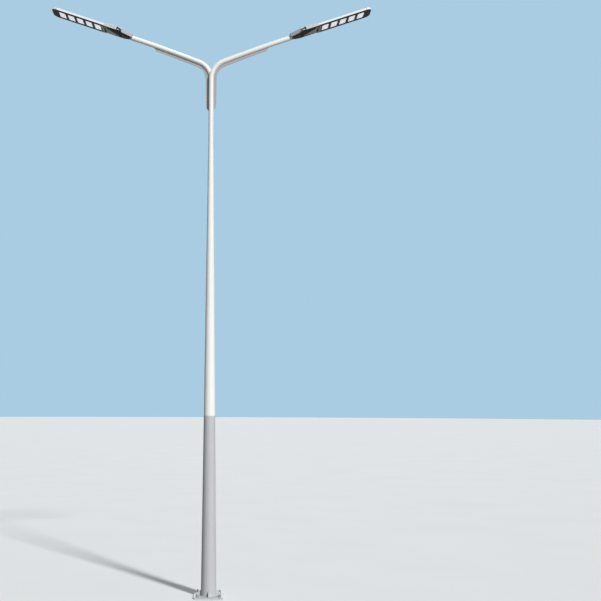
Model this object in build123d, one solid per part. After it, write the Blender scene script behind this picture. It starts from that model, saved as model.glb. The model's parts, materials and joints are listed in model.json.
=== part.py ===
# Twin-arm street light: a conical steel mast, two bent tube arms and two modular lamp heads.
# Millimetres, +Z up. The origin is the centre of the base flange's bottom face, the arms reach
# along -X and +X, and -Y is the side that the picture shows.
from build123d import *
from math import cos, degrees, radians, sin
import os

os.makedirs("parts", exist_ok=True)

# Base flange and its gussets
flange_side = 400
flange_thickness = 20
flange_corner_radius = 25
anchor_spacing = 300
anchor_hole_diameter = 28
cable_hole_diameter = 120
gusset_names = ("right", "back", "left", "front")
gusset_thickness = 10
gusset_height = 68
gusset_reach = 72
gusset_nose = 14

# Conical mast in two lengths, with a groove where they meet
mast_base_diameter = 210
mast_top_diameter = 72
mast_wall = 4
mast_top_height = 6190
mast_seam_height = 2425
seam_groove_width = 8
seam_groove_depth = 2

# Access opening on the unseen side, the collar set in it and its flush door
opening_width = 96
opening_height = 360
opening_centre_height = 720
opening_corner_radius = 30
collar_thickness = 5
collar_depth = 25
door_gap = 2
door_seat_width = 10
door_seat_thickness = 4
door_seat_clearance = 0.3

# Bent arm tubes
tube_diameter = 68
tube_wall = 4
leg_length = 943
bend_radius = 270
arm_root_slope = 21.5
arm_tip_slope = 18.5
arm_reach = 1115
left_arm_setback = 34
left_leg_cap = 6

# Flat strips on the hollow side of the bends
strip_width = 45
strip_root_width = 38
strip_nose_width = 32
strip_thickness = 8
strip_lap = 4
strip_foot_drop = 457
strip_foot_width = 35
strip_foot_slant = 56
strip_corner_radius = 180
strip_nose_inset = 335
strip_nose_slant = 42

# Lamp head along its own axis: u from the neck's mouth to the tip, v across, w up
head_half_width = 152.5
head_length = 1190
edge_round = 4

# Neck, its stub inside the arm tube and the cover under it
neck_length = 150
neck_mouth_half_width = 62
neck_shoulder_half_width = 138
neck_wall = 6
neck_skirt = 8
neck_mouth_round = 16
tube_seat_depth = 18
seat_wall = 12
stub_length = 70
stub_clearance = 0.4
saddle_clearance = 0.4
cover_depth = 12
cover_inset = 1.5
cover_bottom_share = 0.45

# Driver box behind the light modules
box_length = 265
box_height = 46
box_wall = 5
box_roof = 4
box_ramp_length = 40
box_corner_radius = 22
box_groove_height = 12
box_groove_depth = 2
box_groove_bottom = 17
box_groove_inset = 28

# Ladder frame that carries the light modules
rail_height = 31
rail_thickness = 6
rung_bottom = 10
rung_width = 12.5
side_bar_width = 11
frame_end = 1112

# Light modules: finned heat sinks, lens plates and the dark tray round the lenses
module_count = 5
module_pitch = 131
first_module_centre = 516
sink_lap = 3
sink_bottom = 2
fin_count = 8
fin_thickness = 3
fin_margin = 4
fin_drop = 2
lens_length = 96
lens_half_width = 113.5
lens_gap = 1
lens_recess = 1
tray_depth = 8
tray_inset = 2
tray_back_gap = 0.5
tray_rail_gap = 0.5

# Front cap
cap_corner_radius = 75
cap_wall = 5

# Hinged lid under the driver box
lid_gap = 5
lid_plate = 4
lid_depth = 20
lid_bulge_margin = 8
lid_bulge_half_width = 122
lid_bulge_side_slant = 38
lid_bulge_front_slant = 36
lid_bulge_back_slant = 18
hinge_drop = 7
hinge_setback = 11
hinge_offset = 95
hinge_pin_radius = 3
hinge_barrel_radius = 6
hinge_barrel_length = 40
hinge_side_gap = 1
hinge_ear_thickness = 5
hinge_ear_rise = 4
pin_clearance = 0.06

# Latch on the near side of the lid
latch_start = 154
latch_width = 76
latch_thickness = 6
latch_wall_gap = 5.5
latch_top = 46
latch_rear_top = 26
latch_slant_length = 52
latch_bottom = -6
latch_pivot_drop = 17
latch_pin_radius = 2.5
latch_barrel_radius = 5
latch_ear_width = 6
latch_side_gap = 1
latch_window_width = 52
latch_window_height = 31
latch_window_rear_height = 18
latch_window_slant_length = 34
latch_window_bottom = 1
latch_lip_height = 4
latch_lip_reach = 5
lug_thickness = 8
lug_seat_width = 12

# LED driver under the box's roof
driver_start = 180
driver_length = 190
driver_width = 76
driver_height = 28
driver_offset = -40

# Worked out from the sizes above
tube_radius = tube_diameter / 2
bore_radius = tube_radius - tube_wall
bend_start_height = mast_top_height + leg_length
strip_foot_height = bend_start_height - strip_foot_drop
mast_taper = (mast_base_diameter - mast_top_diameter) / 2 / (mast_top_height - flange_thickness)
bend_turn = 90 - arm_root_slope
bend_centre = (bend_radius, bend_start_height)
bend_end = (
    bend_radius * (1 - cos(radians(bend_turn))),
    bend_start_height + bend_radius * sin(radians(bend_turn)),
)
bow_radius = (arm_reach - bend_end[0]) / (
    sin(radians(arm_root_slope)) - sin(radians(arm_tip_slope))
)
bow_centre = (
    bend_end[0] + bow_radius * sin(radians(arm_root_slope)),
    bend_end[1] - bow_radius * cos(radians(arm_root_slope)),
)
box_start = neck_length
box_end = neck_length + box_length
hinge_u = box_end - hinge_setback
hinge_w = -hinge_drop
window_length = module_pitch - rung_width
window_half_width = head_half_width - side_bar_width
module_centres = [first_module_centre + place * module_pitch for place in range(module_count)]
lid_start = box_start + box_wall + lid_gap
lid_end = hinge_u - hinge_barrel_radius - lid_gap
lid_half_width = head_half_width - box_wall - lid_gap
latch_v = -(head_half_width + latch_wall_gap + latch_thickness / 2)
latch_end = latch_start + latch_width
lug_start = latch_start + latch_ear_width + latch_side_gap
lug_end = latch_end - latch_ear_width - latch_side_gap
hinge_places = (-hinge_offset, hinge_offset)
both_sides = (-1, 1)


def block(u_range, v_range, w_range):
    ranges = (u_range, v_range, w_range)
    size = [high - low for low, high in ranges]
    middle = [(high + low) / 2 for low, high in ranges]
    return Pos(*middle) * Box(*size)


def mirrored_range(side, near, far):
    """A range across the head, on the side that the sign gives."""
    return (near, far) if side > 0 else (-far, -near)


def side_profile(points, half_width):
    """Solid with an outline seen from the front, drawn out to both sides."""
    return extrude(Plane.XZ * make_face(Polyline(*points, close=True)), half_width, both=True)


def rod_along_u(radius, start, end, v=0, w=0):
    return Pos((start + end) / 2, v, w) * Rot(0, 90, 0) * Cylinder(radius, end - start)


def rod_along_v(radius, start, end, u=0, w=0):
    return Pos(u, (start + end) / 2, w) * Rot(90, 0, 0) * Cylinder(radius, end - start)


def frustum(top_points, top, bottom_points, bottom):
    """Solid between two level outlines, with straight sides."""
    upper = Pos(0, 0, top) * make_face(Polyline(*top_points, close=True))
    lower = Pos(0, 0, bottom) * make_face(Polyline(*bottom_points, close=True))
    return loft([lower, upper], ruled=True)


def rectangle_points(start, end, half_width):
    return [(start, -half_width), (end, -half_width), (end, half_width), (start, half_width)]


# Base flange and gussets

def base_flange():
    plate = extrude(
        RectangleRounded(flange_side, flange_side, flange_corner_radius), flange_thickness
    )
    plate -= Cylinder(cable_hole_diameter / 2, 3 * flange_thickness)
    for x_side in both_sides:
        for y_side in both_sides:
            centre = Pos(x_side * anchor_spacing / 2, y_side * anchor_spacing / 2, 0)
            plate -= centre * Cylinder(anchor_hole_diameter / 2, 3 * flange_thickness)
    return plate


def mast_radius(height):
    return mast_base_diameter / 2 - (height - flange_thickness) * mast_taper


def mast_shell(low, high, outset, inset):
    """Conical ring that lies between two depths under the mast's outer surface."""
    profile = Polyline(
        (mast_radius(low) - inset, low),
        (mast_radius(low) - outset, low),
        (mast_radius(high) - outset, high),
        (mast_radius(high) - inset, high),
        close=True,
    )
    return revolve(Plane.XZ * make_face(profile), Axis.Z)


def base_gusset(turn):
    foot = flange_thickness
    root = mast_radius(foot)
    outline = [
        (root - mast_wall, foot),
        (root + gusset_reach, foot),
        (root + gusset_reach, foot + gusset_nose),
        (root + gusset_nose, foot + gusset_height),
        (root - mast_wall, foot + gusset_height),
    ]
    plate = side_profile(outline, gusset_thickness / 2)
    plate -= mast_shell(foot, foot + gusset_height, 0, mast_base_diameter / 4)
    return Rot(0, 0, turn) * plate


# Mast lengths and the access door

def opening_prism(inset):
    outline = RectangleRounded(
        opening_width - 2 * inset, opening_height - 2 * inset, opening_corner_radius - inset
    )
    wall_plane = Plane(origin=(0, 0, opening_centre_height), x_dir=(1, 0, 0), z_dir=(0, 1, 0))
    return extrude(wall_plane * outline, mast_base_diameter)


def opening_zone(outset, inset):
    low = opening_centre_height - opening_height
    high = opening_centre_height + opening_height
    return mast_shell(low, high, outset, inset)


def mast_lower_length():
    return mast_shell(flange_thickness, mast_seam_height, 0, mast_wall) - opening_prism(0)


def mast_upper_length():
    shell = mast_shell(mast_seam_height, mast_top_height, 0, mast_wall)
    groove_top = mast_seam_height + seam_groove_width
    return shell - mast_shell(mast_seam_height, groove_top, -mast_wall, seam_groove_depth)


def access_door():
    return opening_zone(0, mast_wall) & opening_prism(collar_thickness + door_gap)


def access_door_frame():
    """Flat bar bent to the opening, with a seat for the door on its inner side."""
    collar = opening_zone(0, collar_depth) & opening_prism(0)
    collar -= opening_prism(collar_thickness)
    seat_front = mast_wall + door_seat_clearance
    seat = opening_zone(seat_front, seat_front + door_seat_thickness)
    seat &= opening_prism(collar_thickness / 2)
    return collar + (seat - opening_prism(collar_thickness + door_seat_width))


# Arm tubes: a straight leg, a tight bend, then a long bow that flattens towards the lamp head

def upright(point):
    return (point[0], 0, point[1])


def bend_at(turn, offset):
    """Point on the bend, moved towards its hollow side by an offset."""
    radius = bend_radius - offset
    return upright((
        bend_centre[0] - radius * cos(radians(turn)),
        bend_centre[1] + radius * sin(radians(turn)),
    ))


def bow_at(slope, offset):
    """Point on the bow where it climbs at a slope, moved towards its hollow side."""
    radius = bow_radius - offset
    return upright((
        bow_centre[0] - radius * sin(radians(slope)),
        bow_centre[1] + radius * cos(radians(slope)),
    ))


head_origin = bow_at(arm_tip_slope, 0)


def arm_lines(foot, slope_end, offset):
    """Leg, bend and bow of a line that runs beside the right-hand arm's centre line."""
    leg = Line((offset, 0, foot), bend_at(0, offset))
    bend = ThreePointArc(
        bend_at(0, offset), bend_at(bend_turn / 2, offset), bend_at(bend_turn, offset)
    )
    middle_slope = (arm_root_slope + slope_end) / 2
    bow = ThreePointArc(
        bow_at(arm_root_slope, offset), bow_at(middle_slope, offset), bow_at(slope_end, offset)
    )
    return [leg, bend, bow]


def arm_rod(foot, radius):
    leg, bend, bow = arm_lines(foot, arm_tip_slope, 0)
    seat = Line(head_origin, in_head_point(tube_seat_depth))
    return sweep(Pos(0, 0, foot) * Circle(radius), path=leg + bend + bow + seat)


def in_head_point(u):
    slope = radians(arm_tip_slope)
    return (head_origin[0] + u * cos(slope), 0, head_origin[2] + u * sin(slope))


def to_left(shape, setback=left_arm_setback):
    return Pos(0, setback, 0) * mirror(shape, about=Plane.YZ)


def right_arm_tube():
    return arm_rod(mast_top_height, tube_radius) - arm_rod(mast_top_height, bore_radius)


def left_arm_tube():
    """The second tube stands behind the first and is cut to fit round it."""
    outer = to_left(arm_rod(strip_foot_height, tube_radius))
    bore = to_left(arm_rod(strip_foot_height + left_leg_cap, bore_radius))
    return outer - arm_rod(mast_top_height, tube_radius) - bore


def strip_slope(inset):
    """Slope of the bow at a distance back from the lamp head."""
    return arm_tip_slope + degrees(inset / bow_radius)


def stiffener_strip():
    """Flat strip along the tube, widest at the bend and narrower at its foot and its nose."""
    near = arm_lines(strip_foot_height, strip_slope(strip_nose_inset), tube_radius - strip_lap)
    outer = tube_radius + strip_width
    heel = upright((tube_radius + strip_foot_width, strip_foot_height + strip_foot_slant))
    root = bow_at(arm_root_slope, tube_radius + strip_root_width)
    nose_slope = strip_slope(strip_nose_inset + strip_nose_slant)
    nose_corner = bow_at(nose_slope, tube_radius + strip_nose_width)
    climb = (nose_corner[2] - root[2]) / (nose_corner[0] - root[0])
    corner = upright((outer, root[2] - (root[0] - outer) * climb))
    edge = FilletPolyline(heel, corner, nose_corner, radius=strip_corner_radius)
    foot = Line(near[0] @ 0, heel)
    nose = Line(near[-1] @ 1, nose_corner)
    outline = near[0] + near[1] + near[2] + nose + edge + foot
    return extrude(make_face(outline), strip_thickness / 2, both=True)


def right_stiffener():
    return stiffener_strip() - arm_rod(mast_top_height, tube_radius)


def left_stiffener():
    strip = to_left(stiffener_strip())
    strip -= to_left(arm_rod(strip_foot_height, tube_radius))
    return strip - arm_rod(mast_top_height, tube_radius)


# Lamp head: neck and its cover

def neck_half_width(u):
    widening = neck_shoulder_half_width - neck_mouth_half_width
    return neck_mouth_half_width + widening * u / neck_length


def neck_points(start, end, inset):
    near = neck_half_width(start) - inset
    far = neck_half_width(end) - inset
    return [(start, -near), (end, -far), (end, far), (start, near)]


def neck():
    outline = make_face(Polyline(*neck_points(0, neck_length, 0), close=True))
    body = Pos(0, 0, -neck_skirt) * extrude(outline, box_height + neck_skirt)
    mouth_corners = body.edges().filter_by(Axis.Z).group_by(Axis.X)[0]
    body = fillet(mouth_corners, neck_mouth_round)
    top_edges = body.edges().group_by(Axis.Z)[-1].filter_by(lambda edge: not_at(edge, neck_length))
    body = fillet(top_edges, edge_round)
    pocket_start = tube_seat_depth + seat_wall
    pocket = neck_points(pocket_start, neck_length - neck_wall, neck_wall)
    hollow = extrude(make_face(Polyline(*pocket, close=True)), box_height + neck_skirt - neck_wall)
    body -= Pos(0, 0, -neck_skirt) * hollow
    body -= rod_along_u(tube_radius + saddle_clearance, -tube_seat_depth, tube_seat_depth)
    return body + rod_along_u(bore_radius - stub_clearance, -stub_length, tube_seat_depth)


def not_at(edge, u):
    return abs(edge.center().X - u) > edge_round


def neck_cover():
    """Plate under the neck, with sides that slope in to a narrower bottom."""
    top = neck_points(tube_seat_depth, neck_length, cover_inset)
    bottom = [(u, v * cover_bottom_share) for u, v in top]
    return frustum(top, -neck_skirt, bottom, -neck_skirt - cover_depth)


# Lamp head: driver box with its hinge ears

def box_outline(inset, roof, foot):
    return [
        (box_start + inset, foot),
        (box_start + inset, box_height - roof),
        (box_end - box_ramp_length, box_height - roof),
        (box_end - inset, rail_height - roof),
        (box_end - inset, foot),
    ]


def back_corners(solid):
    return solid.edges().filter_by(Axis.Z).group_by(Axis.X)[0]


def driver_box():
    body = side_profile(box_outline(0, 0, 0), head_half_width)
    body = fillet(back_corners(body), box_corner_radius)
    hollow = side_profile(box_outline(box_wall, box_roof, -box_roof), head_half_width - box_wall)
    body -= fillet(back_corners(hollow), box_corner_radius - box_wall)
    groove_ends = (box_start + box_groove_inset, box_end - box_groove_inset - box_ramp_length)
    groove_levels = (box_groove_bottom, box_groove_bottom + box_groove_height)
    for side in both_sides:
        across = mirrored_range(side, head_half_width - box_groove_depth, 2 * head_half_width)
        body -= block(groove_ends, across, groove_levels)
    for place in hinge_places:
        body += hinge_ears(place)
    return body


def hinge_ears(place):
    """Two ears either side of one lid barrel, with the pin between them."""
    reach = hinge_barrel_length / 2 + hinge_side_gap
    ears = rod_along_v(hinge_pin_radius, place - reach, place + reach, hinge_u, hinge_w)
    for side in both_sides:
        across = sorted((place + side * reach, place + side * (reach + hinge_ear_thickness)))
        ears += block(
            (hinge_u - hinge_barrel_radius, box_end),
            across,
            (hinge_w - hinge_barrel_radius, hinge_ear_rise),
        )
    return ears


def led_driver():
    roof = box_height - box_roof
    return block(
        (driver_start, driver_start + driver_length),
        (driver_offset - driver_width / 2, driver_offset + driver_width / 2),
        (roof - driver_height, roof),
    )


# Lamp head: frame, light modules, tray and front cap

def light_frame():
    body = block(
        (box_end, frame_end), (-head_half_width, head_half_width), (rung_bottom, rail_height)
    )
    long_edges = body.edges().filter_by(Axis.X).group_by(Axis.Z)[-1]
    body = fillet(long_edges, edge_round)
    for centre in module_centres:
        body -= block(
            (centre - window_length / 2, centre + window_length / 2),
            (-window_half_width, window_half_width),
            (0, 2 * rail_height),
        )
    for side in both_sides:
        across = mirrored_range(side, head_half_width - rail_thickness, head_half_width)
        body += block((box_end, frame_end), across, (0, rung_bottom))
    return body


def light_module(centre):
    half_length = window_length / 2
    body = block(
        (centre - half_length - sink_lap, centre + half_length + sink_lap),
        (-window_half_width - sink_lap, window_half_width + sink_lap),
        (sink_bottom, rung_bottom),
    )
    fin_reach = half_length - fin_margin - fin_thickness / 2
    fin_pitch = 2 * fin_reach / (fin_count - 1)
    for number in range(fin_count):
        place = centre - fin_reach + number * fin_pitch
        body += block(
            (place - fin_thickness / 2, place + fin_thickness / 2),
            (-window_half_width + fin_margin, window_half_width - fin_margin),
            (rung_bottom, rail_height - fin_drop),
        )
    return body


def lens_block(centre, grow, low):
    half_length = lens_length / 2 + grow
    half_width = lens_half_width + grow
    return block(
        (centre - half_length, centre + half_length), (-half_width, half_width), (low, sink_bottom)
    )


def lens_plates():
    plates = [lens_block(centre, 0, lens_recess - tray_depth) for centre in module_centres]
    return Compound(children=plates)


def rounded_front(start, end, half_width, corner_radius, low, high):
    """Slab with straight sides and a rounded front end."""
    slab = block((start, end), (-half_width, half_width), (low, high))
    return fillet(slab.edges().filter_by(Axis.Z).group_by(Axis.X)[-1], corner_radius)


def lens_tray():
    start = box_end + tray_back_gap
    body = rounded_front(
        start, head_length - tray_inset, head_half_width - tray_inset,
        cap_corner_radius - tray_inset, -tray_depth, 0,
    )
    inner_half_width = head_half_width - rail_thickness - tray_rail_gap
    body += block((start, frame_end), (-inner_half_width, inner_half_width), (0, sink_bottom))
    for centre in module_centres:
        body -= lens_block(centre, lens_gap, -2 * tray_depth)
    return body


def front_cap():
    body = rounded_front(
        frame_end, head_length, head_half_width, cap_corner_radius, 0, rail_height
    )
    top_edges = body.edges().group_by(Axis.Z)[-1].filter_by(lambda edge: not_at(edge, frame_end))
    body = fillet(top_edges, edge_round)
    body -= rounded_front(
        frame_end - cap_wall, head_length - cap_wall, head_half_width - cap_wall,
        cap_corner_radius - cap_wall, -cap_wall, rail_height - cap_wall,
    )
    return body


# Lamp head: hinged lid and its latches

def lid_bulge(inset, top, bottom):
    start = lid_start + lid_bulge_margin + inset
    end = lid_end - lid_bulge_margin - inset
    half_width = lid_bulge_half_width - inset
    return frustum(
        rectangle_points(start, end, half_width),
        top,
        rectangle_points(
            start + lid_bulge_back_slant, end - lid_bulge_front_slant,
            half_width - lid_bulge_side_slant,
        ),
        bottom,
    )


def driver_lid():
    body = block((lid_start, lid_end), (-lid_half_width, lid_half_width), (-lid_plate, 0))
    body += lid_bulge(0, 0, -lid_depth)
    body -= lid_bulge(lid_plate, 0, lid_plate - lid_depth)
    for place in hinge_places:
        across = (place - hinge_barrel_length / 2, place + hinge_barrel_length / 2)
        body += block((lid_end - lid_gap, hinge_u), across, (-lid_plate, -lid_plate / 2))
        body += rod_along_v(hinge_barrel_radius, *across, hinge_u, hinge_w)
        body -= rod_along_v(hinge_pin_radius + pin_clearance, *across, hinge_u, hinge_w)
    lug_levels = (-latch_pivot_drop - lug_thickness / 2, -latch_pivot_drop + lug_thickness / 2)
    seat = (-lid_half_width, lug_seat_width - lid_half_width)
    body += block((lug_start, lug_end), (latch_v, seat[1]), lug_levels)
    body += block((lug_start, lug_end), seat, (lug_levels[0], 0))
    pivot = (latch_v, -latch_pivot_drop)
    body += rod_along_u(latch_barrel_radius, lug_start, lug_end, *pivot)
    body -= rod_along_u(latch_pin_radius + pin_clearance, lug_start, lug_end, *pivot)
    return body


def latch():
    """Plate that stands outside the side wall, with a finger window, a lip and two pivot ears."""
    inner = latch_v + latch_thickness / 2
    outer = latch_v - latch_thickness / 2
    outline = [
        (latch_start, latch_bottom),
        (latch_end, latch_bottom),
        (latch_end, latch_top),
        (latch_start + latch_slant_length, latch_top),
        (latch_start, latch_rear_top),
    ]
    body = Pos(0, latch_v, 0) * side_profile(outline, latch_thickness / 2)
    window_start = (latch_start + latch_end - latch_window_width) / 2
    window_end = window_start + latch_window_width
    window_top = latch_window_bottom + latch_window_height
    window = [
        (window_start, latch_window_bottom),
        (window_end, latch_window_bottom),
        (window_end, window_top),
        (window_start + latch_window_slant_length, window_top),
        (window_start, latch_window_bottom + latch_window_rear_height),
    ]
    body -= Pos(0, latch_v, 0) * side_profile(window, latch_thickness)
    body += block(
        (latch_start + latch_slant_length, latch_end), (outer - latch_lip_reach, inner),
        (latch_top - latch_lip_height, latch_top),
    )
    ear_levels = (-latch_pivot_drop - latch_barrel_radius, latch_bottom)
    for start in (latch_start, latch_end - latch_ear_width):
        body += block((start, start + latch_ear_width), (outer, inner), ear_levels)
    return body + rod_along_u(
        latch_pin_radius, latch_start, latch_end, latch_v, -latch_pivot_drop
    )


# Writing out

def place_head(shape):
    return Pos(*head_origin) * Rot(0, -arm_tip_slope, 0) * shape


def head_pieces():
    pieces = {
        "neck": neck(),
        "neck_cover": neck_cover(),
        "driver_box": driver_box(),
        "led_driver": led_driver(),
        "light_frame": light_frame(),
        "lens_plates": lens_plates(),
        "lens_tray": lens_tray(),
        "front_cap": front_cap(),
        "driver_lid": driver_lid(),
        "latch": latch(),
    }
    for number, centre in enumerate(module_centres, start=1):
        pieces[f"light_module_{number}"] = light_module(centre)
    return pieces


def mast_pieces():
    pieces = {
        "base_flange": base_flange(),
        "mast_lower_length": mast_lower_length(),
        "mast_upper_length": mast_upper_length(),
        "access_door": access_door(),
        "access_door_frame": access_door_frame(),
        "right_arm_tube": right_arm_tube(),
        "left_arm_tube": left_arm_tube(),
        "right_stiffener": right_stiffener(),
        "left_stiffener": left_stiffener(),
    }
    for number, name in enumerate(gusset_names):
        pieces[f"{name}_gusset"] = base_gusset(number * 360 / len(gusset_names))
    return pieces


all_pieces = mast_pieces()
for name, shape in head_pieces().items():
    all_pieces[f"right_{name}"] = place_head(shape)
    all_pieces[f"left_{name}"] = to_left(place_head(shape))

for name, shape in all_pieces.items():
    export_step(shape, f"parts/{name}.step")

print("lamp head origin", [round(value, 3) for value in head_origin])
print("right lid hinge", [round(v, 3) for v in place_head(Pos(hinge_u, 0, hinge_w)).position])
pivot = place_head(Pos(latch_start, latch_v, -latch_pivot_drop)).position
print("right latch pivot", [round(v, 3) for v in pivot])
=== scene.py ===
import json
import math

import bmesh
import bpy
from mathutils import Matrix, Vector


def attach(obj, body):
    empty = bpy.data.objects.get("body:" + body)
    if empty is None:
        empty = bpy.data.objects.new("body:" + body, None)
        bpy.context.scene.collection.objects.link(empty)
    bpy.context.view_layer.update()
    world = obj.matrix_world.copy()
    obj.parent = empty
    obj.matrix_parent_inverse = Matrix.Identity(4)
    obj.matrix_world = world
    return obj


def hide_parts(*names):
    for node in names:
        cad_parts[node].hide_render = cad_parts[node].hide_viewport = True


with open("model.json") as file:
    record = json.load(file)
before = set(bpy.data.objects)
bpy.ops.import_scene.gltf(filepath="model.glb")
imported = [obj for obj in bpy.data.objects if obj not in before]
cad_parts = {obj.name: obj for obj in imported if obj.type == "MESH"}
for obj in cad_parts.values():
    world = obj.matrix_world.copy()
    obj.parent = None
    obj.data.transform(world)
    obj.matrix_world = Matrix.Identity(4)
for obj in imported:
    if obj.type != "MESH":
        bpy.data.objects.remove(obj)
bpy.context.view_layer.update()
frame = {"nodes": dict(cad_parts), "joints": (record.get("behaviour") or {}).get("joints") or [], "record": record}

mm = 0.001
slack = 0.05  # millimetres within which two places count as one
beyond = 20  # millimetres that a cutting tool reaches past what it cuts
sides = ("right", "left")


# Colour and node helpers

def hexColour(text):
    channels = [int(text[place:place + 2], 16) / 255 for place in (1, 3, 5)]
    return (*(c / 12.92 if c <= 0.04045 else ((c + 0.055) / 1.055) ** 2.4 for c in channels), 1)


def setInputs(owner, node, inputs):  # another node's socket is linked, anything else is set
    for name, value in inputs.items():
        if isinstance(value, bpy.types.NodeSocket):
            owner.node_tree.links.new(value, node.inputs[name])
        else:
            node.inputs[name].default_value = value


def addNode(owner, kind, inputs=(), **settings):
    node = owner.node_tree.nodes.new(kind)
    for name, value in settings.items():
        setattr(node, name, value)
    setInputs(owner, node, dict(inputs))
    return node


def newMaterial(name, roughness, metallic=0.0, ior=1.5):
    material = bpy.data.materials.new(name)
    material.use_nodes = True
    shader = material.node_tree.nodes["Principled BSDF"]
    setInputs(material, shader, {"Roughness": roughness, "Metallic": metallic, "IOR": ior})
    return material, shader


# Edit-mode helpers. Lengths are in millimetres.

def clearSelection():
    if bpy.context.object and bpy.context.object.mode != "OBJECT":
        bpy.ops.object.mode_set(mode="OBJECT")
    bpy.ops.object.select_all(action="DESELECT")


def selectOnly(*pieces):  # the first one becomes the active one
    clearSelection()
    for piece in pieces:
        piece.select_set(True)
    bpy.context.view_layer.objects.active = pieces[0]


def takeNew(name):
    piece = bpy.context.object
    piece.name = piece.data.name = name
    bpy.ops.object.transform_apply(location=True, rotation=True, scale=True)
    return piece


def addBlock(name, low, high):
    clearSelection()
    centre = [(a + b) / 2 * mm for a, b in zip(low, high)]
    bpy.ops.mesh.primitive_cube_add(
        size=1, location=centre, scale=[(b - a) * mm for a, b in zip(low, high)]
    )
    return takeNew(name)


def addSlab(name, start, end, half, low, high, corner=0, segments=6):
    # a block that is alike on both sides of y = 0, with its upright edges rounded if asked
    slab = addBlock(name, (start, -half, low), (end, half, high))
    return roundEdges(slab, upright, corner, segments) if corner else slab


def addRod(name, start, end, radius, vertices=32):
    clearSelection()
    start, end = Vector(start) * mm, Vector(end) * mm
    along = end - start
    bpy.ops.mesh.primitive_cylinder_add(
        vertices=vertices, radius=radius * mm, depth=along.length, location=(start + end) / 2,
        rotation=along.to_track_quat("Z", "Y").to_euler(),
    )
    return takeNew(name)


def edit(piece):
    selectOnly(piece)
    bpy.ops.object.mode_set(mode="EDIT")
    bpy.ops.mesh.select_mode(type="EDGE")
    bpy.ops.mesh.select_all(action="SELECT")


def done():
    bpy.ops.object.mode_set(mode="OBJECT")


def doneOutwards():  # ends an edit with every face pointing outwards
    bpy.ops.mesh.select_all(action="SELECT")
    bpy.ops.mesh.normals_make_consistent(inside=False)
    done()


def startPick(kind):
    bpy.ops.mesh.select_mode(type=kind)
    bpy.ops.mesh.select_all(action="DESELECT")
    mesh = bpy.context.object.data
    return mesh, bmesh.from_edit_mesh(mesh)


def pickEdges(test):
    mesh, grid = startPick("EDGE")
    for edge in grid.edges:
        if test(*(vertex.co / mm for vertex in edge.verts)):
            edge.select_set(True)
    bmesh.update_edit_mesh(mesh)


def pickFaces(test):
    mesh, grid = startPick("FACE")
    for face in grid.faces:
        if test(face.calc_center_median() / mm, face.normal):
            face.select_set(True)
    bmesh.update_edit_mesh(mesh)


def pickBottom(level):
    pickFaces(lambda c, n: near(c.z, level) and n.z < -0.9)


def bevelPicked(width, segments=3):
    bpy.ops.mesh.bevel(offset=width * mm, segments=segments, affect="EDGES", clamp_overlap=True)


def movePicked(x):
    bpy.ops.transform.translate(value=(x * mm, 0, 0))


def extrudePicked(x=0, z=0):
    bpy.ops.mesh.extrude_region_move(TRANSFORM_OT_translate={"value": (x * mm, 0, z * mm)})


def sizePicked(x=1, y=1, about=(0, 0, 0)):
    bpy.ops.transform.resize(value=(x, y, 1), center_override=[value * mm for value in about])


def sliceOff(point, normal):  # cuts away what lies on the side that the normal points to
    bpy.ops.mesh.select_all(action="SELECT")
    bpy.ops.mesh.bisect(
        plane_co=[value * mm for value in point], plane_no=Vector(normal).normalized(),
        use_fill=True, clear_outer=True,
    )


def near(value, target):
    return abs(value - target) < slack


def both(a, b, axis, target):
    return near(a[axis], target) and near(b[axis], target)


def upright(a, b):
    return (a.xy - b.xy).length < slack


def crosswise(a, b):
    return (a.xz - b.xz).length < slack


def roundEdges(piece, test, width, segments):
    edit(piece)
    pickEdges(test)
    bevelPicked(width, segments)
    done()
    return piece


# Object-mode helpers

def applyModifier(piece, kind, **settings):
    selectOnly(piece)
    modifier = piece.modifiers.new(kind.title(), kind)
    for name, value in settings.items():
        setattr(modifier, name, value)
    bpy.ops.object.modifier_apply(modifier=modifier.name)
    return piece


def addTurned(name, stations, vertices):  # rings of (radius, height), one above the other
    clearSelection()
    radius, height = stations[0]
    bpy.ops.mesh.primitive_circle_add(
        vertices=vertices, radius=radius * mm, location=(0, 0, height * mm)
    )
    piece = takeNew(name)
    edit(piece)
    for nextRadius, nextHeight in stations[1:]:
        extrudePicked(z=nextHeight - height)
        sizePicked(nextRadius / radius, nextRadius / radius, about=(0, 0, nextHeight))
        radius, height = nextRadius, nextHeight
    doneOutwards()
    return piece


def closeRims(piece):
    edit(piece)
    bpy.ops.mesh.select_all(action="DESELECT")
    bpy.ops.mesh.select_non_manifold()
    bpy.ops.mesh.fill_holes(sides=0)
    doneOutwards()
    return piece


def softEdges(piece, width, segments=2, angle=30):
    return applyModifier(
        piece, "BEVEL", width=width * mm, segments=segments, limit_method="ANGLE",
        angle_limit=math.radians(angle), miter_outer="MITER_ARC",
    )


def shell(piece, wall):
    return applyModifier(
        piece, "SOLIDIFY", thickness=wall * mm, offset=-1, use_even_offset=True, use_rim=True
    )


def cut(piece, *tools, operation="DIFFERENCE"):
    for tool in tools:
        applyModifier(piece, "BOOLEAN", operation=operation, object=tool, solver="EXACT")
        bpy.data.objects.remove(tool)
    return piece


def repeat(piece, count, step):
    return applyModifier(
        piece, "ARRAY", count=count, use_relative_offset=False, use_constant_offset=True,
        constant_offset_displace=[value * mm for value in step],
    )


def paint(piece, *finishes):  # every face gets the first one
    piece.data.materials.clear()
    for finish in finishes:
        piece.data.materials.append(paints[finish])
    for face in piece.data.polygons:
        face.material_index = 0
    return piece


def joined(name, pieces):
    selectOnly(*pieces)
    bpy.ops.object.join()
    pieces[0].name = pieces[0].data.name = name
    return pieces[0]


def copyOf(piece, name):
    twin = piece.copy()
    twin.data = piece.data.copy()
    twin.name = twin.data.name = name
    bpy.context.scene.collection.objects.link(twin)
    return twin


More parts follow.
